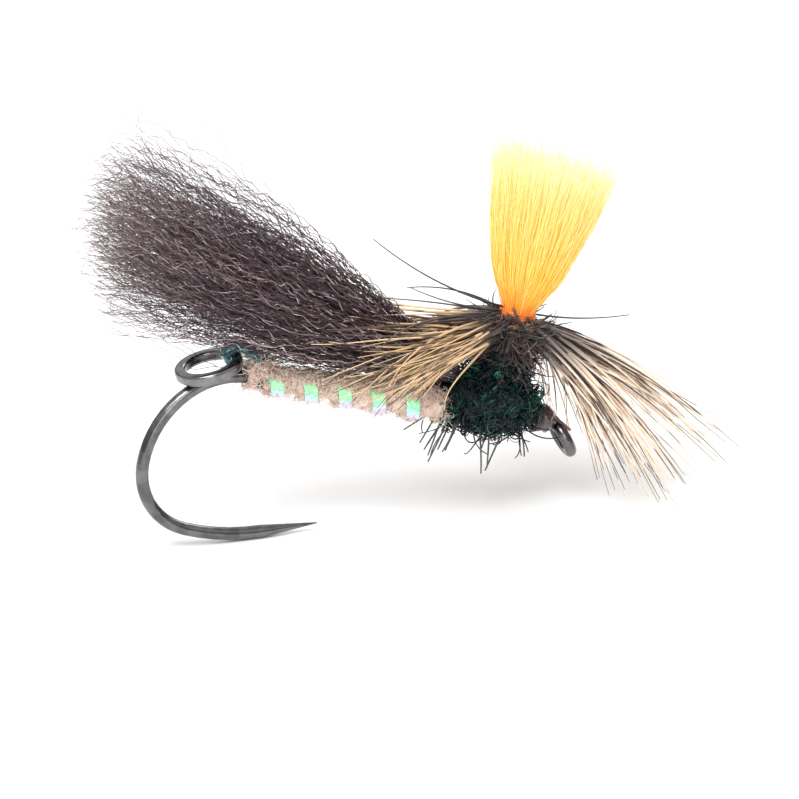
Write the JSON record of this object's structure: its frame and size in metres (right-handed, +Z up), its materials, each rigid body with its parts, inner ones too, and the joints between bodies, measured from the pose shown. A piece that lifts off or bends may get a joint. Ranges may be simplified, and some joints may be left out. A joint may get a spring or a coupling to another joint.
{
  "type": "dry fly",
  "caption": "Parachute dry fly on a barbless hook, with a bright yarn post, a dark hair wing, a ribbed body and a free tippet ring looped in at the bend.",
  "frame": {"origin": "centre of the footprint, on the surface that the fly stands on", "axes": "+X forward, from the bend to the eye's end; +Y to the fly's left; +Z up"},
  "size_m": [0.0192, 0.0124, 0.0124],
  "materials": {
    "black_nickel": "black nickel plated wire, polished",
    "black_nickel_ring": "black nickel plated steel, polished",
    "green_floss": "glossy dark green nylon floss, translucent at its edges",
    "dark_thread": "waxed brown-black tying thread",
    "tan_dubbing": "fuzzy tan fur dubbing",
    "pearl_tinsel": "pearl film, shifting from mint green to lilac",
    "peacock_dubbing": "curly peacock green and black dubbing",
    "head_varnish": "clear varnish over dark thread",
    "yellow_yarn": "bright yellow poly yarn, orange at its foot",
    "orange_thread": "orange tying thread",
    "dark_wing_hair": "crimped dark purple-brown hair",
    "quill": "dark brown feather quill",
    "cree_hackle": "ginger and dark barred feather barbs",
    "dark_strand": "slender dark hair"
  },
  "bodies": {
    "fly": {"hook": "black_nickel", "loop_whipping": "dark_thread", "thread_underbody": "dark_thread", "abdomen": "tan_dubbing", "rib_tinsel": "pearl_tinsel", "thorax": "peacock_dubbing", "head_wraps": "dark_thread", "head_cement": "head_varnish", "wing_post": "yellow_yarn", "post_wraps": "orange_thread", "wing": "dark_wing_hair", "hackle_stem": "quill", "hackle_front": "cree_hackle", "hackle_side_left": "cree_hackle", "hackle_side_right": "cree_hackle", "hackle_rear_left": "cree_hackle", "hackle_rear_right": "cree_hackle", "hackle_foot_left": "cree_hackle", "hackle_foot_right": "cree_hackle", "guard_hairs": "dark_strand", "stem_butts": "quill"},
    "ring_loop": {"ring_loop": "green_floss"},
    "tippet_ring": {"tippet_ring": "black_nickel_ring"}
  },
  "joints": [
    {"name": "loop_lift", "type": "hinge", "parent": "fly", "child": "ring_loop", "pos_m": [-0.00473, 0, 0.00536], "axis": [0, 1, 0], "range_deg": [0, 35]},
    {"name": "ring_turn", "type": "hinge", "parent": "ring_loop", "child": "tippet_ring", "pos_m": [-0.00603, 0, 0.00541], "axis": [-0.2215, 0, 0.9751], "continuous": true}
  ]
}
